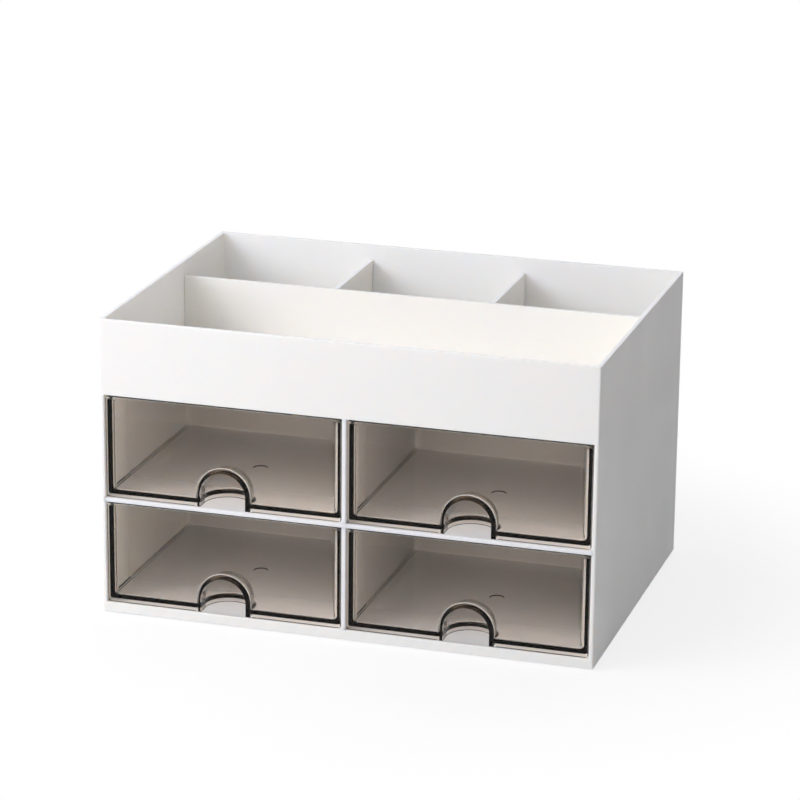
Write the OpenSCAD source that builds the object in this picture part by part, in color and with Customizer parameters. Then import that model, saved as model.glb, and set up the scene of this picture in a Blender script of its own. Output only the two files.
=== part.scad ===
// Desktop mini drawers: a white case with a stepped top tray over four smoky pull-out drawers.
// Millimetres, +Z up. The origin is the middle of the footprint on the surface it stands on,
// +X is the width towards the right and +Y the depth towards the back.

/* [Case] */
// Overall width of the case
case_w = 260; // [220:1:320]
// Overall depth of the case
case_d = 184; // [165:1:240]
// Thickness of the outer walls
wall_t = 2.4; // [2:0.1:3.5]
// Height of the rail under the lower drawers
rail_h = 5.2; // [4.5:0.1:8]
// Thickness of the base plate behind the rail
base_t = 2.4; // [2:0.1:3.5]
// Radius of the upright outer edges
edge_r = 1; // [0.5:0.1:2]

/* [Drawer bays] */
// Height of one drawer bay
bay_h = 54.7; // [45:0.1:70]
// Depth of the drawer bays, from the front face to the wall behind the drawers
bay_d = 118; // [100:1:140]
// Thickness of the upright between the left and right drawers
upright_t = 2; // [1.6:0.1:3]
// Thickness of the shelf between the upper and lower drawers
shelf_t = 2.2; // [1.8:0.1:3]
// Width of the raised runners that the drawers slide on
runner_w = 3; // [2:0.5:6]
// Distance from the side of a bay to its nearest runner
runner_inset = 7; // [4:0.5:20]
// Distance from the back of the drawer fronts to the start of the runners
runner_setback = 30; // [0:1:60]

/* [Top tray] */
// Thickness of the tray floor above the drawers
deck_t = 2.2; // [1.8:0.1:3]
// Height of the outer walls above the tray floor
tray_wall_h = 37.6; // [25:0.1:60]
// How far the inner walls stop below the rim of the outer walls
inner_drop = 8.2; // [0:0.1:20]
// Thickness of the wall between the drawers and the deep wells
mid_wall_t = 2.2; // [2:0.1:3]
// Thickness of the two dividers between the deep wells
divider_t = 2; // [1.6:0.1:3]

/* [Drawer] */
// Gap between a drawer front and the bay at each side
side_gap = 0.5; // [0.3:0.1:1]
// Gap between a drawer front and the top of the bay
top_gap = 0.5; // [0.3:0.1:1]
// Gap between a drawer front and the floor of the bay
bottom_gap = 0.3; // [0.2:0.1:1]
// Gap between a closed drawer and the wall behind it
rear_gap = 0.7; // [0.3:0.1:2]
// Thickness of the drawer front
front_t = 2.4; // [2:0.1:3.5]
// Radius of the four corners of the drawer front
front_corner_r = 1.2; // [0.5:0.1:3]
// How far the drawer front overhangs the box at each side
front_overhang = 0.8; // [0.5:0.1:3]
// How far the drawer front reaches below the box
front_skirt = 1.7; // [1.2:0.1:4]
// How far the box walls stop below the top of the drawer front
box_drop = 2; // [0.5:0.1:6]
// Thickness of the box walls
box_wall_t = 1.6; // [1.2:0.1:3]
// Thickness of the box floor
box_floor_t = 2; // [1.4:0.1:3]
// Radius of the upright inner corners of the box
box_corner_r = 2.4; // [1:0.1:4]
// Radius of the round mould mark in the middle of the box floor
mark_r = 3.7; // [2:0.1:6]
// Depth of the round mould mark
mark_deep = 0.5; // [0.2:0.1:1]

/* [Finger pull] */
// Inner radius of the arched finger pull
pull_r = 12; // [9:0.5:16]
// Wall of the finger pull
pull_wall_t = 1.8; // [1.2:0.1:3]
// Height of the arch centre above the lower edge of the drawer front
pull_rise = 6.8; // [4:0.1:15]
// Length of the straight stretch of the pull before its round end
pull_straight = 7.5; // [3:0.5:15]

/* [Feet] */
// Radius of the anti-slip pads
foot_r = 6; // [4:0.5:10]
// How far the pads stand below the case
foot_proud = 0.8; // [0.5:0.1:3]
// Distance from the inside of the outer walls to the edge of a pad
foot_inset = 8; // [3:1:30]

/* [Snap-in joints] */
// Depth of the grooves that hold the inner panels
groove_deep = 0.7; // [0.4:0.1:0.9]
// Clearance between a panel and its groove, and between a drawer and its runners
fit = 0.1; // [0.05:0.05:0.2]

/* [Hidden] */
$fn = 64;

LEFT = -1;
RIGHT = 1;
FRONT = -1;
REAR = 1;
LOWER = 0;
UPPER = 1;

// How far a panel's edge reaches into its groove
tongue = groove_deep - fit;
// Extra length that carries a cut clean through a face
over = 1;

// Inside of the outer walls
inner_w = case_w - 2 * wall_t;
inner_d = case_d - 2 * wall_t;
front_y = -case_d / 2;
inner_front_y = front_y + wall_t;
inner_rear_y = inner_front_y + inner_d;

// Levels from the surface up
case_z = foot_proud;
bay_floor_z = case_z + rail_h;
base_z = bay_floor_z - base_t;
shelf_z = bay_floor_z + bay_h;
upper_bay_z = shelf_z + shelf_t;
deck_z = upper_bay_z + bay_h;
tray_z = deck_z + deck_t;
rim_z = tray_z + tray_wall_h;
inner_rim_z = rim_z - inner_drop;

// Drawer bays and the walls behind them
bay_w = (inner_w - upright_t) / 2;
mid_wall_y = front_y + bay_d;
well_y = mid_wall_y + mid_wall_t;
well_w = (inner_w - 2 * divider_t) / 3;
lap_y = front_y + bay_d / 2;
deck_d = mid_wall_y - inner_front_y + 2 * tongue;
inner_wall_h = inner_rim_z - bay_floor_z + tongue;

// Drawer box inside its bay, measured from the bay's lower left front corner
front_w = bay_w - 2 * side_gap;
front_h = bay_h - top_gap - bottom_gap;
box_x = side_gap + front_overhang;
box_w = bay_w - 2 * box_x;
box_z = bottom_gap + front_skirt;
box_h = bay_h - top_gap - box_drop - box_z;
box_rear_y = bay_d - rear_gap;
runner_h = box_z - fit;

module rounded_rect(w, h, r) {
    square([w - 2 * r, h], center = true);
    square([w, h - 2 * r], center = true);
    for (x = [-1, 1], y = [-1, 1])
        translate([x * (w / 2 - r), y * (h / 2 - r)]) circle(r);
}

// A slab centred on X, from corner height z and front y
module slab(w, y, d, z, h) {
    translate([-w / 2, y, z]) cube([w, d, h]);
}

// The same slab grown by the fit, as the groove that takes it
module groove(w, y, d, z, h) {
    slab(w + 2 * fit, y - fit, d + 2 * fit, z - fit, h + 2 * fit);
}

// Plan of a tray from the middle of its front edge, square in front and round at the back
module tray_plan(w, d, r) {
    translate([0, d / 2]) rounded_rect(w, d, r);
    translate([-w / 2, 0]) square([w, d / 2]);
}

// Arch of half-width r with its centre at height rise
module arch(r, rise) {
    translate([0, rise]) intersection() {
        circle(r);
        translate([-r, 0]) square([2 * r, r]);
    }
    translate([-r, 0]) square([2 * r, rise]);
}

// Half of the arch, for turning about its upright axis
module half_arch(r, rise) {
    intersection() {
        arch(r, rise);
        square([r, rise + r]);
    }
}

// Arched tunnel that runs back from the drawer front and closes in a round end
module pull_volume(r, straight, rise) {
    rotate([90, 0, 0])
        translate([0, 0, -straight])
            linear_extrude(straight) arch(r, rise);
    translate([0, straight, 0])
        rotate_extrude(angle = 180) half_arch(r, rise);
}

module base_slab() {
    slab(inner_w + 2 * tongue, inner_front_y - tongue, inner_d + 2 * tongue, base_z, base_t);
}

module outer_shell() {
    color("white") difference() {
        translate([0, 0, case_z])
            linear_extrude(rim_z - case_z) rounded_rect(case_w, case_d, edge_r);
        // well for everything inside, open at the top and bottom
        slab(inner_w, inner_front_y, inner_d, case_z - over, rim_z - case_z + 2 * over);
        // window for the drawers
        slab(inner_w, front_y - over, wall_t + 2 * over, bay_floor_z, deck_z - bay_floor_z);
        // grooves for the base plate, shelf, tray floor and mid wall
        groove(inner_w + 2 * tongue, inner_front_y - tongue, inner_d + 2 * tongue, base_z, base_t);
        groove(inner_w + 2 * tongue, front_y - over, bay_d + over, shelf_z, shelf_t);
        groove(inner_w + 2 * tongue, inner_front_y - tongue, deck_d, deck_z, deck_t);
        groove(inner_w + 2 * tongue, mid_wall_y, mid_wall_t, base_z, inner_rim_z - base_z);
        // grooves for the well dividers in the back wall
        for (side = [LEFT, RIGHT])
            translate([divider_x(side), 0, 0])
                groove(divider_t, inner_rear_y - over, over + tongue, base_z, inner_rim_z - base_z);
    }
}

// Two runners under each drawer of a row, standing on the level z
module runners(z) {
    runner_y = front_y + front_t + runner_setback;
    runner_d = mid_wall_y - runner_y - over;
    for (side = [LEFT, RIGHT], inset = [runner_inset, bay_w - runner_inset - runner_w])
        translate([side * (upright_t / 2 + inset + runner_w / 2), 0, 0])
            slab(runner_w, runner_y, runner_d, z, runner_h);
}

module base_plate() {
    color("white") {
        difference() {
            base_slab();
            groove(upright_t, front_y, bay_d, bay_floor_z - tongue, over);
            groove(inner_w + 2 * over, mid_wall_y, mid_wall_t, bay_floor_z - tongue, over);
            for (side = [LEFT, RIGHT])
                translate([divider_x(side), 0, 0])
                    groove(divider_t, well_y, inner_rear_y - well_y + over, bay_floor_z - tongue, over);
        }
        runners(bay_floor_z);
    }
}

// The shelf and the upright cross in a halved joint: the shelf is slotted from the back
// and the upright from the front
module drawer_shelf() {
    color("white") {
        difference() {
            slab(inner_w + 2 * tongue, front_y, bay_d - fit, shelf_z, shelf_t);
            slab(upright_t + 2 * fit, lap_y - fit, bay_d, shelf_z - over, shelf_t + 2 * over);
        }
        runners(upper_bay_z);
    }
}

module centre_upright() {
    upright_h = deck_z - bay_floor_z + 2 * tongue;
    color("white") difference() {
        slab(upright_t, front_y, bay_d + tongue, bay_floor_z - tongue, upright_h);
        slab(upright_t + 2 * over, front_y - over, lap_y - front_y + over, shelf_z - fit, shelf_t + 2 * fit);
        // steps that clear the rail and the front of the case
        slab(upright_t + 2 * over, front_y - over, wall_t + fit + over, bay_floor_z - over, over);
        slab(upright_t + 2 * over, front_y - over, wall_t + fit + over, deck_z, over);
    }
}

module mid_wall() {
    open_z = bay_floor_z - over;
    color("white") difference() {
        slab(inner_w + 2 * tongue, mid_wall_y, mid_wall_t, bay_floor_z - tongue, inner_wall_h);
        groove(upright_t, mid_wall_y - over, over + tongue, open_z, deck_z + tongue - open_z);
        groove(inner_w + 2 * over, mid_wall_y - over, over + tongue, deck_z, deck_t);
        for (side = [LEFT, RIGHT])
            translate([divider_x(side), 0, 0])
                groove(divider_t, well_y - tongue, over + tongue, open_z, inner_rim_z + over - open_z);
    }
}

module tray_floor() {
    color("white") difference() {
        slab(inner_w + 2 * tongue, inner_front_y - tongue, deck_d, deck_z, deck_t);
        groove(upright_t, inner_front_y, deck_d, deck_z - over, over + tongue);
    }
}

// Middle of a well divider
function divider_x(side) = side * (well_w + divider_t) / 2;

module well_divider(side) {
    divider_d = inner_rear_y - well_y + 2 * tongue;
    color("white")
        translate([divider_x(side), 0, 0])
            slab(divider_t, well_y - tongue, divider_d, bay_floor_z - tongue, inner_wall_h);
}

// One drawer in its bay, from the bay's lower left front corner
module drawer() {
    pull_x = bay_w / 2;
    floor_top_z = box_z + box_floor_t;
    difference() {
        union() {
            translate([pull_x, front_t, bottom_gap + front_h / 2])
                rotate([90, 0, 0])
                    linear_extrude(front_t) rounded_rect(front_w, front_h, front_corner_r);
            difference() {
                translate([pull_x, front_t, box_z])
                    linear_extrude(box_h)
                        tray_plan(box_w, box_rear_y - front_t, box_corner_r + box_wall_t);
                translate([pull_x, (front_t + box_rear_y - box_wall_t) / 2, floor_top_z])
                    linear_extrude(box_h)
                        rounded_rect(
                            box_w - 2 * box_wall_t,
                            box_rear_y - box_wall_t - front_t,
                            box_corner_r
                        );
            }
            translate([pull_x, 0, bottom_gap])
                pull_volume(pull_r + pull_wall_t, pull_straight, pull_rise);
        }
        translate([pull_x, -over, bottom_gap - over])
            pull_volume(pull_r, pull_straight + over, pull_rise + over);
        translate([pull_x, (front_t + box_rear_y) / 2, floor_top_z - mark_deep])
            cylinder(h = box_h, r = mark_r);
    }
}

module drawer_in_bay(side, row) {
    bay_x = side == LEFT ? -inner_w / 2 : upright_t / 2;
    bay_z = row == LOWER ? bay_floor_z : upper_bay_z;
    color("dimgray", 0.6) translate([bay_x, front_y, bay_z]) drawer();
}

// Anti-slip pad in the hollow under the base plate
module foot(side, end) {
    foot_x = side * (inner_w / 2 - foot_inset - foot_r);
    foot_y = end * (inner_d / 2 - foot_inset - foot_r);
    color("gainsboro") translate([foot_x, foot_y, 0]) cylinder(h = base_z, r = foot_r);
}

outer_shell();
base_plate();
drawer_shelf();
centre_upright();
mid_wall();
tray_floor();
well_divider(LEFT);  // well_divider_left
well_divider(RIGHT);  // well_divider_right
drawer_in_bay(LEFT, UPPER);  // drawer_upper_left
drawer_in_bay(RIGHT, UPPER);  // drawer_upper_right
drawer_in_bay(LEFT, LOWER);  // drawer_lower_left
drawer_in_bay(RIGHT, LOWER);  // drawer_lower_right
foot(LEFT, FRONT);  // foot_front_left
foot(RIGHT, FRONT);  // foot_front_right
foot(LEFT, REAR);  // foot_rear_left
foot(RIGHT, REAR);  // foot_rear_right
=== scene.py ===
"""Desktop mini drawers: a white case with a stepped top tray over four smoky see-through drawers.

Lengths are millimetres in the row frame, as in the part's source, and MM turns them into metres.
"""

import math

import bmesh
import bpy
from mathutils import Matrix, Vector


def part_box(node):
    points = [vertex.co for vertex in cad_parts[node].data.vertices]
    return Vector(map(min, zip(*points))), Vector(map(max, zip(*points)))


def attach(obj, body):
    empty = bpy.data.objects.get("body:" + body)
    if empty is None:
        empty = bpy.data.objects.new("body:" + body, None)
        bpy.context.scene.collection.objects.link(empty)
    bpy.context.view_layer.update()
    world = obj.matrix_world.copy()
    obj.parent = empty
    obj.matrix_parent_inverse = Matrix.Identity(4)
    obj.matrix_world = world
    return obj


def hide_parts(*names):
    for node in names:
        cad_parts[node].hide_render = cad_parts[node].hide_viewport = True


MM = 0.001

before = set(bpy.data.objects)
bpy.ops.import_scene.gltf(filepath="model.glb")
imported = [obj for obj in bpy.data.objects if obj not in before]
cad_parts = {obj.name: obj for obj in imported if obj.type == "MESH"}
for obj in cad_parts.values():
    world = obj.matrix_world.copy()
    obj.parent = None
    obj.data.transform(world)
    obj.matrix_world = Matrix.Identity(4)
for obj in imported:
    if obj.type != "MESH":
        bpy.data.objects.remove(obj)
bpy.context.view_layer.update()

# Case
WALL_T = 2.4
BASE_T = 2.4
EDGE_R = 1.0

# Drawer
FRONT_T = 2.4
FRONT_CORNER_R = 1.2
FRONT_OVERHANG = 0.8
FRONT_SKIRT = 1.7
BOX_DROP = 2.0
BOX_WALL_T = 1.6
BOX_FLOOR_T = 2.0
BOX_CORNER_R = 2.4
MARK_R = 3.7
MARK_DEEP = 0.5
PULL_R = 12.0
PULL_WALL_T = 1.8
PULL_RISE = 6.8
PULL_STRAIGHT = 7.5

# Edges that only the finished mouldings show
FRONT_EDGE_R = 0.6
FRONT_BACK_EDGE_R = 0.3
BOX_OUTER_R = 1.0
BOX_RIM_R = 0.4
BOX_FILLET_R = 1.5
FRONT_CORNER_MORE = 1.3
LEAST_R = 0.05
HIDDEN_CORNER_R = 0.1
PULL_LIP_R = 0.5
PULL_FILLET_R = 1.5
MARK_EDGE_R = 0.15
CASE_EDGE_R = 0.4
PANEL_EDGE_R = 0.25

# How the solids are joined and cut
INSIDE_FRONT = 1.0
OVERLAP = 0.1
PAST = 1.0
PULL_FOOT = 0.2
PULL_ARCH_STEPS = 24
PULL_END_STEPS = 32
MARK_STEPS = 48
FLAT_ANGLE = 0.1

# Which faces of a drawer get a look of their own, painted shade among them; the tilts are parts of
# a face's normal
LEVEL = 0.98
HARDLY_TILTED = 0.02
TILTED = 0.1
UPRIGHT = 0.9
PAINTED_SHADE_SLOPE = 0.8
SATIN_FILLET_START = 3
# painted shade in the pull's mouth: how deep it reaches, how near the arch, how dark, and how fast
# it fades upward
PULL_SHADE_DEEP = 5.0
PULL_SHADE_NEAR = 0.2
PULL_PAINTED_SHADE = 0.85
PULL_PAINTED_SHADE_FADE = 2
# painted shade on the upright wall of the gate mark
MARK_PAINTED_SHADE = 0.7

# White plastic: two colours that it clouds between, and how deep light enters it
CASE_WHITE = ((0.93, 0.897, 0.845), (0.95, 0.918, 0.868))
CASE_LIGHT_DEPTH = 1
# The inner white is the same plastic painted lighter: painted light on the shaded inside surfaces
INNER_WHITE_PAINTED_LIGHTER = ((0.97, 0.942, 0.885), (0.98, 0.954, 0.90))
INNER_LIGHT_DEPTH = 3
LIGHT_SPREAD = (1, 0.9, 0.8)
PLASTIC_IOR = 1.5

# Smoky plastic
SMOKE = (0.95, 0.87, 0.79)
BOX_SMOKE = (0.72, 0.66, 0.605)
# painted shade: the near-black tint of the plate's steep outer edge, the pull's mouth and the gate
# mark's wall
PAINTED_SHADE_TINT = (0.06, 0.055, 0.05)
CLEAR = (1, 1, 1)
FACE_GLEAM = (0.3, 0.3, 0.3)
EDGE_GLEAM = (1, 1, 1)
PANE_COLOUR = (1.0, 0.982, 0.965)
SMOKE_INSIDE = (0.62, 0.57, 0.51)
SMOKE_DENSITY = 200
SATIN_ROUGHNESS = 0.3
SATIN_STARTS = (8, 30)

# Pads
PAD_GREY = ((0.50, 0.50, 0.49), (0.60, 0.60, 0.59))

# Camera
CAMERA_PLACE = (492.2, -1633.1, 637.7)
CAMERA_AZIMUTH = 16.733
CAMERA_ELEVATION = 17.488
CAMERA_ROLL = 0.569
CAMERA_LENS = 154.37
CAMERA_SENSOR = 36
CAMERA_CLIP = (10.0, 50000.0)

# Light: a lamp at level 1 shows a surface that faces it in its own colour
LAMPS = (
    # name, the way to it from what it is aimed at, its level, its size
    ("key", (-0.51, -0.62, 0.60), 0.19, 600),
    ("key_left", (-0.75, -0.45, 0.50), 0.42, 600),
    ("front", (-0.25, -0.90, 0.34), 0.15, 800),
    ("front_high", (-0.20, -0.80, 0.56), 0.11, 800),
    ("front_right", (0.50, -0.80, 0.34), 0.18, 800),
    ("left_top", (-0.70, 0.00, 0.70), 0.23, 1000),
    ("back_top", (0.00, 0.60, 0.80), 0.22, 1000),
    ("back", (0.30, 0.95, 0.25), 0.24, 1000),
)
LAMP_COLOUR = (1.005, 1.008, 1.075)
LAMP_DISTANCE = 1200.0
LAMPS_AIM = (0, 0, 80)
FLOOR_HALF = 8000.0
FLOOR_GREY = 0.8
FLOOR_SHADOW = 0.22
SHADOW_REACH = (150.0, 300.0)


# Materials

def node_material(name):
    """A material with its node tree emptied down to the output."""
    material = bpy.data.materials.new(name)
    material.use_nodes = True
    tree = material.node_tree
    tree.nodes.clear()
    return material, tree, tree.nodes.new("ShaderNodeOutputMaterial")


def noise(tree, scale, detail):
    """A noise pattern fixed to the object, its scale in patterns per metre."""
    place = tree.nodes.new("ShaderNodeTexCoord")
    pattern = tree.nodes.new("ShaderNodeTexNoise")
    pattern.inputs["Scale"].default_value = scale
    pattern.inputs["Detail"].default_value = detail
    tree.links.new(place.outputs["Object"], pattern.inputs["Vector"])
    return pattern.outputs["Fac"]


def between(tree, fac, low, high):
    """A pattern's value stretched to run from low to high."""
    ranged = tree.nodes.new("ShaderNodeMapRange")
    ranged.inputs["From Min"].default_value = 0.3
    ranged.inputs["From Max"].default_value = 0.7
    ranged.inputs["To Min"].default_value = low
    ranged.inputs["To Max"].default_value = high
    tree.links.new(fac, ranged.inputs["Value"])
    return ranged.outputs["Result"]


def blend_colours(tree, fac, first, second):
    """A mix of two colours, each of them plain numbers or another node's colour."""
    mix = tree.nodes.new("ShaderNodeMix")
    mix.data_type = "RGBA"
    for socket, colour in (("A", first), ("B", second)):
        if isinstance(colour, tuple):
            mix.inputs[socket].default_value = (*colour, 1)
        else:
            tree.links.new(colour, mix.inputs[socket])
    tree.links.new(fac, mix.inputs["Factor"])
    return mix.outputs["Result"]


def attribute(tree, name):
    """The value of this name that is stored for each face of the mesh."""
    stored = tree.nodes.new("ShaderNodeAttribute")
    stored.attribute_name = name
    return stored.outputs["Fac"]


def bump(tree, height, strength, distance):
    """Normals for relief that stands out by the distance in millimetres."""
    relief = tree.nodes.new("ShaderNodeBump")
    relief.inputs["Strength"].default_value = strength
    relief.inputs["Distance"].default_value = distance * MM
    tree.links.new(height, relief.inputs["Height"])
    return relief.outputs["Normal"]


def white_plastic(name, colours, depth):
    """Moulded white plastic that light enters to a depth in millimetres."""
    material, tree, out = node_material(name)
    skin = tree.nodes.new("ShaderNodeBsdfPrincipled")
    clouds = between(tree, noise(tree, scale=9, detail=3), low=0, high=1)
    tree.links.new(blend_colours(tree, clouds, *colours), skin.inputs["Base Color"])
    rough = between(tree, noise(tree, scale=60, detail=4), low=0.36, high=0.46)
    tree.links.new(rough, skin.inputs["Roughness"])
    grain = bump(tree, noise(tree, scale=2500, detail=2), strength=0.12, distance=0.02)
    tree.links.new(grain, skin.inputs["Normal"])
    skin.inputs["IOR"].default_value = PLASTIC_IOR
    skin.inputs["Subsurface Weight"].default_value = 1
    skin.inputs["Subsurface Radius"].default_value = LIGHT_SPREAD
    skin.inputs["Subsurface Scale"].default_value = depth * MM
    tree.links.new(skin.outputs["BSDF"], out.inputs["Surface"])
    return material


def smoke_colour(tree):
    """The tint of the first surface that a camera ray meets, with painted shade, tinted near black,
    on the faces that the painted-shade attribute marks.
    """
    smoke = blend_colours(tree, attribute(tree, "plate"), BOX_SMOKE, SMOKE)
    smoke = blend_colours(tree, any_ray(tree, "Is Camera Ray"), CLEAR, smoke)
    return blend_colours(tree, attribute(tree, "rim"), smoke, PAINTED_SHADE_TINT)


def smoke_roughness(tree):
    """Polished, but for the faces that "satin" marks, which grow duller behind the front plate."""
    place = tree.nodes.new("ShaderNodeTexCoord")
    parts = tree.nodes.new("ShaderNodeSeparateXYZ")
    tree.links.new(place.outputs["Object"], parts.inputs[0])
    depth = tree.nodes.new("ShaderNodeMapRange")
    depth.inputs["From Min"].default_value = SATIN_STARTS[0] * MM
    depth.inputs["From Max"].default_value = SATIN_STARTS[1] * MM
    depth.inputs["To Max"].default_value = SATIN_ROUGHNESS
    tree.links.new(parts.outputs["Y"], depth.inputs["Value"])
    rough = tree.nodes.new("ShaderNodeMath")
    rough.operation = "MULTIPLY_ADD"
    tree.links.new(attribute(tree, "satin"), rough.inputs[0])
    tree.links.new(depth.outputs["Result"], rough.inputs[1])
    haze = between(tree, noise(tree, scale=40, detail=3), low=0.0, high=0.03)
    tree.links.new(haze, rough.inputs[2])
    return rough.outputs[0]


def smoke_inside(tree):
    """Absorbs light that is reflected inside the plastic, which gives it dark edges."""
    tint = tree.nodes.new("ShaderNodeVolumeAbsorption")
    tint.inputs["Color"].default_value = (*SMOKE_INSIDE, 1)
    tint.inputs["Density"].default_value = SMOKE_DENSITY
    guided = tree.nodes.new("ShaderNodeMath")
    guided.operation = "SUBTRACT"
    guided.use_clamp = True
    tree.links.new(any_ray(tree, "Is Reflection Ray"), guided.inputs[0])
    tree.links.new(any_ray(tree, "Is Diffuse Ray"), guided.inputs[1])
    deep = tree.nodes.new("ShaderNodeMixShader")
    tree.links.new(guided.outputs[0], deep.inputs[0])
    tree.links.new(tint.outputs[0], deep.inputs[2])
    return deep.outputs[0]


def smoky_plastic():
    """See-through grey plastic.

    Light that falls on other surfaces passes straight through it, as through a thin pane."""
    material, tree, out = node_material("smoky_plastic")
    skin = tree.nodes.new("ShaderNodeBsdfPrincipled")
    skin.inputs["IOR"].default_value = PLASTIC_IOR
    skin.inputs["Transmission Weight"].default_value = 1
    tree.links.new(smoke_colour(tree), skin.inputs["Base Color"])
    gleam = blend_colours(tree, attribute(tree, "edge"), FACE_GLEAM, EDGE_GLEAM)
    tree.links.new(gleam, skin.inputs["Specular Tint"])
    tree.links.new(smoke_roughness(tree), skin.inputs["Roughness"])
    pane = tree.nodes.new("ShaderNodeBsdfTransparent")
    pane.inputs["Color"].default_value = (*PANE_COLOUR, 1)
    both = tree.nodes.new("ShaderNodeMixShader")
    tree.links.new(any_ray(tree, "Is Shadow Ray", "Is Diffuse Ray"), both.inputs[0])
    tree.links.new(skin.outputs[0], both.inputs[1])
    tree.links.new(pane.outputs[0], both.inputs[2])
    tree.links.new(both.outputs[0], out.inputs["Surface"])
    tree.links.new(smoke_inside(tree), out.inputs["Volume"])
    return material


def pad_rubber():
    material, tree, out = node_material("pad_rubber")
    skin = tree.nodes.new("ShaderNodeBsdfPrincipled")
    clouds = between(tree, noise(tree, scale=80, detail=3), low=0, high=1)
    tree.links.new(blend_colours(tree, clouds, *PAD_GREY), skin.inputs["Base Color"])
    rough = between(tree, noise(tree, scale=300, detail=3), low=0.75, high=0.9)
    tree.links.new(rough, skin.inputs["Roughness"])
    grain = bump(tree, noise(tree, scale=1500, detail=2), strength=0.3, distance=0.05)
    tree.links.new(grain, skin.inputs["Normal"])
    tree.links.new(skin.outputs["BSDF"], out.inputs["Surface"])
    return material


def any_ray(tree, first, *others):
    """1 for a ray of any of these kinds, and 0 for the rest."""
    path = tree.nodes.new("ShaderNodeLightPath")
    total = path.outputs[first]
    for name in others:
        either = tree.nodes.new("ShaderNodeMath")
        either.operation = "MAXIMUM"
        tree.links.new(total, either.inputs[0])
        tree.links.new(path.outputs[name], either.inputs[1])
        total = either.outputs[0]
    return total


def seen_directly(tree):
    """1 for a ray from the camera, a mirror or glass, and 0 for one that lights a surface."""
    return any_ray(tree, "Is Camera Ray", "Is Glossy Ray", "Is Transmission Ray")


def floor_level():
    """How bright a white floor is under the lamps, where nothing shades it."""
    return sum(level * Vector(towards).normalized().z for _, towards, level, _ in LAMPS)


def floor_shadow(tree):
    """White with the object's shadow in it."""
    shaded = tree.nodes.new("ShaderNodeBsdfDiffuse")
    share = FLOOR_SHADOW / floor_level()
    shaded.inputs["Color"].default_value = (share, share, share, 1)
    rest = tree.nodes.new("ShaderNodeEmission")
    rest.inputs["Strength"].default_value = 1 - FLOOR_SHADOW
    near = tree.nodes.new("ShaderNodeAddShader")
    tree.links.new(shaded.outputs[0], near.inputs[0])
    tree.links.new(rest.outputs[0], near.inputs[1])
    return near.outputs[0]


def far_from_middle(tree):
    """0 near the middle of the floor and 1 beyond the shadow's reach."""
    place = tree.nodes.new("ShaderNodeTexCoord")
    away = tree.nodes.new("ShaderNodeVectorMath")
    away.operation = "LENGTH"
    tree.links.new(place.outputs["Object"], away.inputs[0])
    fade = tree.nodes.new("ShaderNodeMapRange")
    fade.interpolation_type = "SMOOTHSTEP"
    fade.inputs["From Min"].default_value = SHADOW_REACH[0] * MM
    fade.inputs["From Max"].default_value = SHADOW_REACH[1] * MM
    tree.links.new(away.outputs["Value"], fade.inputs["Value"])
    return fade.outputs["Result"]


def floor_material():
    """White where it is seen, but for the object's shadow, and grey for the light it returns."""
    material, tree, out = node_material("floor")
    bounce = tree.nodes.new("ShaderNodeBsdfDiffuse")
    bounce.inputs["Color"].default_value = (FLOOR_GREY, FLOOR_GREY, FLOOR_GREY, 1)
    plain = tree.nodes.new("ShaderNodeEmission")
    plain.inputs["Strength"].default_value = 1
    look = tree.nodes.new("ShaderNodeMixShader")
    tree.links.new(far_from_middle(tree), look.inputs[0])
    tree.links.new(floor_shadow(tree), look.inputs[1])
    tree.links.new(plain.outputs[0], look.inputs[2])
    both = tree.nodes.new("ShaderNodeMixShader")
    tree.links.new(seen_directly(tree), both.inputs[0])
    tree.links.new(bounce.outputs[0], both.inputs[1])
    tree.links.new(look.outputs[0], both.inputs[2])
    tree.links.new(both.outputs[0], out.inputs["Surface"])
    return material


# Mesh building

def link_mesh(name, bm):
    bmesh.ops.recalc_face_normals(bm, faces=bm.faces)
    mesh = bpy.data.meshes.new(name)
    bm.to_mesh(mesh)
    bm.free()
    made = bpy.data.objects.new(name, mesh)
    bpy.context.scene.collection.objects.link(made)
    return made


def loft(name, loops):
    """A closed solid through loops of as many points each, with its first and last loop capped."""
    bm = bmesh.new()
    rings = [[bm.verts.new(Vector(p) * MM) for p in loop] for loop in loops]
    for low, high in zip(rings, rings[1:]):
        for i in range(len(low)):
            j = (i + 1) % len(low)
            bm.faces.new((low[i], low[j], high[j], high[i]))
    bm.faces.new(rings[0])
    bm.faces.new(rings[-1])
    return link_mesh(name, bm)


def rounded_loop(left, right, near, far, radius, near_radius=None, steps=6):
    """Points round a rectangle with round corners, as pairs."""
    near_radius = radius if near_radius is None else near_radius
    points = []
    for cx, cy, r, start in (
        (right - near_radius, near + near_radius, near_radius, -90),
        (right - radius, far - radius, radius, 0),
        (left + radius, far - radius, radius, 90),
        (left + near_radius, near + near_radius, near_radius, 180),
    ):
        for k in range(steps + 1):
            a = math.radians(start + 90 * k / steps)
            points.append((cx + r * math.cos(a), cy + r * math.sin(a)))
    return points


def quarter(steps):
    """Angles of a quarter turn, in radians."""
    return [math.pi / 2 * k / steps for k in range(steps + 1)]


def combine(base, tool, operation):
    """Cuts tool out of base, or joins it on, and deletes tool."""
    modifier = base.modifiers.new(operation, "BOOLEAN")
    modifier.operation = operation
    modifier.solver = "EXACT"
    modifier.object = tool
    depsgraph = bpy.context.evaluated_depsgraph_get()
    mesh = bpy.data.meshes.new_from_object(base.evaluated_get(depsgraph))
    base.modifiers.clear()
    base.data = mesh
    bpy.data.objects.remove(tool)
    return base


def weld(bm, distance):
    """Joins points that lie together, in metres, and faces that lie in one plane."""
    bmesh.ops.remove_doubles(bm, verts=bm.verts, dist=distance)
    limit = math.radians(FLAT_ANGLE)
    bmesh.ops.dissolve_limit(bm, angle_limit=limit, verts=bm.verts, edges=bm.edges)


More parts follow.
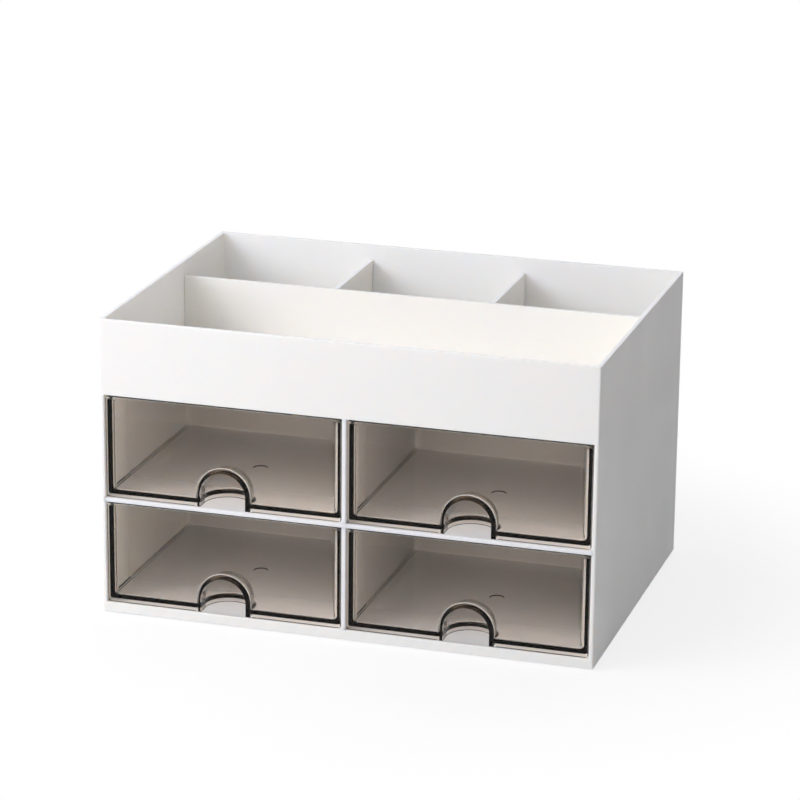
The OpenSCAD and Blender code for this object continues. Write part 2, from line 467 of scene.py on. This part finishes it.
def smooth_by_angle(mesh, degrees=28):
    """Smooth shading, with the edges that turn by more than the angle kept sharp."""
    mesh.polygons.foreach_set("use_smooth", [True] * len(mesh.polygons))
    mesh.set_sharp_from_angle(angle=math.radians(degrees))


def weighted(piece):
    """Keeps large flat faces flat where smooth shading meets them."""
    normals = piece.modifiers.new("even shading", "WEIGHTED_NORMAL")
    normals.keep_sharp = True
    normals.weight = 100


# Drawer, in millimetres from the lower left front corner of its front plate

def front_plate(width, height):
    def outline(inset, y):
        plan = rounded_loop(inset, width - inset, inset, height - inset, FRONT_CORNER_R - inset)
        return [(x, y, z) for x, z in plan]

    loops = []
    for a in quarter(4):
        loops.append(outline(FRONT_EDGE_R * (1 - math.sin(a)), FRONT_EDGE_R * (1 - math.cos(a))))
    for a in quarter(3):
        y = FRONT_T - FRONT_BACK_EDGE_R * (1 - math.sin(a))
        loops.append(outline(FRONT_BACK_EDGE_R * (1 - math.cos(a)), y))
    return loft("front_plate", loops)


def box_outside(left, right, near, far, low, high):
    def outline(inset, z):
        radius = BOX_CORNER_R + BOX_WALL_T - inset
        plan = rounded_loop(left + inset, right - inset, near, far - inset, radius, HIDDEN_CORNER_R)
        return [(x, y, z) for x, y in plan]

    loops = []
    for a in quarter(4):
        z = low + BOX_OUTER_R * (1 - math.cos(a))
        loops.append(outline(BOX_OUTER_R * (1 - math.sin(a)), z))
    for a in quarter(3):
        loops.append(outline(BOX_RIM_R * (1 - math.cos(a)), high - BOX_RIM_R * (1 - math.sin(a))))
    return loft("box_outside", loops)


def box_inside(left, right, near, far, low, high):
    """The space in the box, with a fillet at its floor, and flared where it meets the rim."""
    def outline(inset, z):
        radius = max(BOX_CORNER_R - inset, LEAST_R)
        plan = rounded_loop(left + inset, right - inset, near + inset, far - inset,
                            radius, radius + FRONT_CORNER_MORE)
        return [(x, y, z) for x, y in plan]

    loops = []
    for a in quarter(5):
        z = low + BOX_FILLET_R * (1 - math.cos(a))
        loops.append(outline(BOX_FILLET_R * (1 - math.sin(a)), z))
    for a in quarter(3):
        loops.append(outline(-BOX_RIM_R * (1 - math.cos(a)), high - BOX_RIM_R * (1 - math.sin(a))))
    loops.append([(x, y, high + PAST) for x, y, z in loops[-1]])
    return loft("box_inside", loops)


def pull_solid(name, middle, radius, rise, columns, rows):
    """An arched tunnel that runs back and closes in a round end.

    columns are (y, flare) pairs along the straight stretch, and rows are (z, flare) pairs up the
    upright walls."""
    bm = bmesh.new()
    straight = columns[-1][0]

    def outline(reach, z, row_flare, sine):
        left = []
        for y, flare in columns:
            grown = radius + max(flare, row_flare)
            left.append((-grown * reach, y, z + (grown - radius) * sine))
        turned = []
        grown = radius + row_flare
        for k in range(1, PULL_END_STEPS):
            a = math.pi * k / PULL_END_STEPS
            turned.append((-grown * reach * math.cos(a), straight + grown * reach * math.sin(a), z))
        right = [(-x, y, height) for x, y, height in reversed(left)]
        points = left + turned + right
        return [bm.verts.new(Vector((middle + x, y, height)) * MM) for x, y, height in points]

    levels = [outline(1, z, flare, 0) for z, flare in rows]
    for a in quarter(PULL_ARCH_STEPS)[1:-1]:
        levels.append(outline(math.cos(a), rise + radius * math.sin(a), 0, math.sin(a)))
    levels.append(outline(0, rise + radius, 0, 1))
    for low, high in zip(levels, levels[1:]):
        for i in range(len(low) - 1):
            bm.faces.new((low[i], low[i + 1], high[i + 1], high[i]))
    bm.faces.new(levels[0])
    bm.faces.new([level[0] for level in levels] + [level[-1] for level in reversed(levels)])
    bmesh.ops.remove_doubles(bm, verts=bm.verts, dist=1e-7)
    return link_mesh(name, bm)


def pull_outside(middle, rise, floor_top):
    fillet = [PULL_FILLET_R * (1 - math.sin(a)) for a in quarter(5)]
    along = [PULL_FILLET_R * (1 - math.cos(a)) for a in quarter(5)]
    columns = [(INSIDE_FRONT, PULL_FILLET_R)]
    columns += [(FRONT_T + d, f) for d, f in zip(along, fillet)] + [(PULL_STRAIGHT, 0)]
    rows = [(0.0, 0), (FRONT_SKIRT + PULL_FOOT, 0), (FRONT_SKIRT + 2 * PULL_FOOT, PULL_FILLET_R)]
    rows += [(floor_top + d, f) for d, f in zip(along, fillet)] + [(rise, 0)]
    return pull_solid("pull_outside", middle, PULL_R + PULL_WALL_T, rise, columns, rows)


def pull_inside(middle, rise):
    lip = [(PULL_LIP_R * (1 - math.cos(a)), PULL_LIP_R * (1 - math.sin(a))) for a in quarter(5)]
    columns = [(-PAST, PULL_LIP_R)] + lip + [(PULL_SHADE_DEEP, 0), (PULL_STRAIGHT, 0)]
    return pull_solid("pull_inside", middle, PULL_R, rise, columns, [(-PAST, 0), (rise, 0)])


def mark_cutter(x, y, floor_top):
    """Cuts the round gate mark into the floor of the box."""
    turns = [math.tau * k / MARK_STEPS for k in range(MARK_STEPS)]
    loops = []
    for radius, z in (
        (MARK_R - MARK_EDGE_R, floor_top - MARK_DEEP),
        (MARK_R, floor_top - MARK_DEEP + MARK_EDGE_R),
        (MARK_R, floor_top - MARK_EDGE_R),
        (MARK_R + MARK_EDGE_R, floor_top),
        (MARK_R + MARK_EDGE_R, floor_top + PAST),
    ):
        loops.append([(x + radius * math.cos(a), y + radius * math.sin(a), z) for a in turns])
    return loft("mark", loops)


def drawer_solid(width, height, depth, mark_y):
    left, right = FRONT_OVERHANG, width - FRONT_OVERHANG
    low, high = FRONT_SKIRT, height - BOX_DROP
    floor_top = low + BOX_FLOOR_T
    middle = width / 2
    box = box_outside(left, right, INSIDE_FRONT, depth, low, high)
    inside = box_inside(left + BOX_WALL_T, right - BOX_WALL_T,
                        FRONT_T - OVERLAP, depth - BOX_WALL_T, floor_top, high)
    combine(box, inside, "DIFFERENCE")
    drawer = combine(front_plate(width, height), box, "UNION")
    combine(drawer, pull_outside(middle, PULL_RISE, floor_top), "UNION")
    combine(drawer, pull_inside(middle, PULL_RISE), "DIFFERENCE")
    return combine(drawer, mark_cutter(middle, mark_y, floor_top), "DIFFERENCE")


def drawer_mesh(size):
    """The whole drawer as one solid. size is the CAD drawer's width, depth and height."""
    width, depth, height = size
    mark_y = (FRONT_T + depth) / 2
    drawer = drawer_solid(width, height, depth, mark_y)
    mesh = drawer.data
    bpy.data.objects.remove(drawer)
    bm = bmesh.new()
    bm.from_mesh(mesh)
    weld(bm, distance=2e-6)
    bm.to_mesh(mesh)
    bm.free()
    smooth_by_angle(mesh)
    lowest = (FRONT_OVERHANG, FRONT_T, FRONT_SKIRT)
    mark_satin(mesh, lowest, (width - FRONT_OVERHANG, depth, height - BOX_DROP))
    mark_rim(mesh, width, height, mark_y)
    return mesh


def in_fillet(place, normal, lo, hi):
    """Whether a face is in the fillet where the floor of the box meets its side and back walls."""
    near_floor = place.z < lo.z + (BOX_FLOOR_T + BOX_FILLET_R) * MM
    from_wall = min(place.x - lo.x, hi.x - place.x, hi.y - place.y)
    near_wall = from_wall < (BOX_WALL_T + BOX_FILLET_R) * MM
    behind = place.y > (FRONT_T + SATIN_FILLET_START) * MM
    return near_floor and near_wall and behind and HARDLY_TILTED < normal.z < LEVEL


def on_outside(place, normal, lo, hi):
    """Whether a face is on the outside of a box."""
    skin = BOX_OUTER_R * MM
    left = place.x < lo.x + skin and normal.x < -TILTED
    right = place.x > hi.x - skin and normal.x > TILTED
    back = place.y > hi.y - skin and normal.y > TILTED
    under = place.z < lo.z + skin and normal.z < -TILTED
    return left or right or back or under


def mark_satin(mesh, lowest, highest):
    """Marks the faces of the box behind the front plate that are less polished than the rest."""
    satin = mesh.attributes.new("satin", "FLOAT", "FACE")
    lo, hi = Vector(lowest) * MM, Vector(highest) * MM
    for face in mesh.polygons:
        place, normal = face.center, face.normal
        behind = place.y > lo.y and place.z < hi.z - BOX_OUTER_R * MM
        if behind and (on_outside(place, normal, lo, hi) or in_fillet(place, normal, lo, hi)):
            satin.data[face.index].value = 1.0


def mark_rim(mesh, width, height, mark_y):
    """Marks the front plate, its gleaming edge, and the faces that get painted shade.

    Painted shade, tinted near black, goes on the outer part of that edge, the mouth of the pull,
    fading out towards its top, and the wall of the gate mark."""
    rim = mesh.attributes.new("rim", "FLOAT", "FACE")
    edge = mesh.attributes.new("edge", "FLOAT", "FACE")
    plate = mesh.attributes.new("plate", "FLOAT", "FACE")
    for face in mesh.polygons:
        x, y, z = face.center / MM
        inset = min(x, width - x, z, height - z)
        plate.data[face.index].value = float(y < FRONT_T and face.normal.y < 0)
        if y < FRONT_T and inset < FRONT_EDGE_R and abs(face.normal.y) < LEVEL:
            edge.data[face.index].value = 1.0
            # painted shade: the steepest part of the plate's edge is tinted near black
            rim.data[face.index].value = float(abs(face.normal.y) < PAINTED_SHADE_SLOPE)
        # painted shade in the mouth of the pull, darker towards the bottom and fading out halfway
        # up the arch
        above = max(z - PULL_RISE, 0)
        from_pull = abs(math.hypot(x - width / 2, above) - PULL_R)
        if PULL_LIP_R < y < PULL_SHADE_DEEP and from_pull < PULL_SHADE_NEAR:
            rim.data[face.index].value = PULL_PAINTED_SHADE * (1 - min(above / PULL_R * PULL_PAINTED_SHADE_FADE, 1))
        # painted shade on the upright wall of the gate mark
        from_mark = abs(math.hypot(x - width / 2, y - mark_y) - MARK_R)
        if from_mark < 2 * MARK_EDGE_R and abs(face.normal.z) < UPRIGHT:
            rim.data[face.index].value = MARK_PAINTED_SHADE


def make_drawers(material):
    """Four drawers that share one mesh, each in the place of its CAD node."""
    mesh = None
    for level in ("upper", "lower"):
        for side in ("left", "right"):
            node = f"drawer_{level}_{side}"
            lo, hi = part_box(node)
            if mesh is None:
                mesh = drawer_mesh((hi - lo) / MM)
                mesh.materials.clear()
                mesh.materials.append(material)
            piece = bpy.data.objects.new(f"{level}_{side}_drawer", mesh)
            bpy.context.scene.collection.objects.link(piece)
            piece.location = lo
            weighted(piece)
            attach(piece, f"{level}_{side}_drawer")
            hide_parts(node)


# Case

def block(name, left, right, near, far, low, high, radius=0.0):
    """A plain block, its upright edges rounded to the radius."""
    plan = ((left, near), (right, near), (right, far), (left, far))
    if radius:
        plan = rounded_loop(left, right, near, far, radius)
    return loft(name, [[(x, y, z) for x, y in plan] for z in (low, high)])


def round_edges(piece, width, angle=40):
    """Rounds the sharp edges of a mesh for good."""
    bm = bmesh.new()
    bm.from_mesh(piece.data)
    weld(bm, distance=1e-6)
    sharp = [e for e in bm.edges if e.is_manifold and e.calc_face_angle() > math.radians(angle)]
    bmesh.ops.bevel(bm, geom=sharp, offset=width * MM, segments=3, profile=0.5,
                    affect="EDGES", clamp_overlap=True)
    bm.to_mesh(piece.data)
    bm.free()


def make_shell(white, inner_painted_lighter):
    """The outer walls in one piece, with a window for the drawers and every edge a little round.

    The faces inside it are of the lighter inner white, which paints extra light onto the shaded
    inside."""
    lo, hi = (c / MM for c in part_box("outer_shell"))
    bay_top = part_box("tray_floor")[0].z / MM
    bay_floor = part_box("base_plate")[0].z / MM + BASE_T
    shell = block("case_shell", lo.x, hi.x, lo.y, hi.y, lo.z, hi.z, EDGE_R)
    inside = (lo.x + WALL_T, hi.x - WALL_T, lo.y + WALL_T, hi.y - WALL_T)
    combine(shell, block("well", *inside, lo.z - PAST, hi.z + PAST), "DIFFERENCE")
    window = block("window", *inside[:2], lo.y - PAST, lo.y + WALL_T + PAST, bay_floor, bay_top)
    combine(shell, window, "DIFFERENCE")
    round_edges(shell, CASE_EDGE_R)
    shell.data.materials.clear()
    shell.data.materials.append(white)
    shell.data.materials.append(inner_painted_lighter)
    for face in shell.data.polygons:
        x, y, _ = face.center / MM
        within = min(x - inside[0], inside[1] - x, y - inside[2], inside[3] - y)
        face.material_index = int(within > -CASE_EDGE_R / 2)
    smooth_by_angle(shell.data)
    weighted(shell)
    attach(shell, "case")
    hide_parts("outer_shell")


def soften(obj, width, angle=40):
    """Rounds the sharp edges of a carried-over CAD piece."""
    rounding = obj.modifiers.new("moulded edges", "BEVEL")
    rounding.width = width * MM
    rounding.segments = 3
    rounding.limit_method = "ANGLE"
    rounding.angle_limit = math.radians(angle)
    rounding.harden_normals = True


def dress(node, material):
    """Gives a CAD node the material, and returns its object."""
    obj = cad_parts[node]
    for held in obj.material_slots:
        held.material = material
    return obj


def make_case(white, inner_painted_lighter, rubber):
    make_shell(white, inner_painted_lighter)
    soften(dress("mid_wall", white), PANEL_EDGE_R)
    dress("tray_floor", white)
    dress("base_plate", inner_painted_lighter)
    for node in ("drawer_shelf", "centre_upright", "well_divider_left", "well_divider_right"):
        soften(dress(node, inner_painted_lighter), PANEL_EDGE_R)
    for end in ("front", "rear"):
        for side in ("left", "right"):
            dress(f"foot_{end}_{side}", rubber)


# Studio

def make_camera():
    """The photograph's viewing angle."""
    data = bpy.data.cameras.new("camera")
    camera = bpy.data.objects.new("camera", data)
    bpy.context.scene.collection.objects.link(camera)
    data.sensor_width = CAMERA_SENSOR
    data.lens = CAMERA_LENS
    data.clip_start, data.clip_end = (c * MM for c in CAMERA_CLIP)
    azimuth, elevation = math.radians(CAMERA_AZIMUTH), math.radians(CAMERA_ELEVATION)
    turn = Matrix.Rotation(azimuth, 4, "Z") @ Matrix.Rotation(math.pi / 2 - elevation, 4, "X")
    turn = turn @ Matrix.Rotation(math.radians(CAMERA_ROLL), 4, "Z")
    camera.matrix_world = Matrix.Translation(Vector(CAMERA_PLACE) * MM) @ turn
    bpy.context.scene.camera = camera


def lamp(name, towards, level, size):
    """A soft square lamp that is not seen itself."""
    data = bpy.data.lights.new(name, "AREA")
    data.size = size * MM
    data.color = LAMP_COLOUR
    distance = LAMP_DISTANCE * MM
    data.energy = level * math.pi ** 2 * distance ** 2
    placed = bpy.data.objects.new(name, data)
    bpy.context.scene.collection.objects.link(placed)
    way = Vector(towards).normalized()
    placed.location = Vector(LAMPS_AIM) * MM + way * distance
    placed.rotation_mode = "QUATERNION"
    placed.rotation_quaternion = way.to_track_quat("Z", "Y")
    placed.visible_camera = False


def make_sky():
    """White where the camera, a mirror or glass sees it, and no light on anything else."""
    world = bpy.data.worlds.new("sky")
    bpy.context.scene.world = world
    world.use_nodes = True
    tree = world.node_tree
    tree.nodes.clear()
    seen = tree.nodes.new("ShaderNodeBackground")
    seen.inputs["Color"].default_value = (1, 1, 1, 1)
    seen.inputs["Strength"].default_value = 1
    mix = tree.nodes.new("ShaderNodeMixShader")
    out = tree.nodes.new("ShaderNodeOutputWorld")
    tree.links.new(seen_directly(tree), mix.inputs[0])
    tree.links.new(seen.outputs[0], mix.inputs[2])
    tree.links.new(mix.outputs[0], out.inputs["Surface"])


def make_floor():
    bm = bmesh.new()
    half = FLOOR_HALF * MM
    corners = ((-half, -half), (half, -half), (half, half), (-half, half))
    bm.faces.new([bm.verts.new((x, y, 0)) for x, y in corners])
    floor = link_mesh("floor", bm)
    floor.data.materials.append(floor_material())


make_camera()
make_sky()
make_floor()
for row in LAMPS:
    lamp(*row)
make_case(
    white_plastic("white_plastic", CASE_WHITE, CASE_LIGHT_DEPTH),
    white_plastic("white_plastic_inner_painted_lighter", INNER_WHITE_PAINTED_LIGHTER, INNER_LIGHT_DEPTH),
    pad_rubber(),
)
make_drawers(smoky_plastic())

bpy.context.scene.view_settings.view_transform = "Standard"
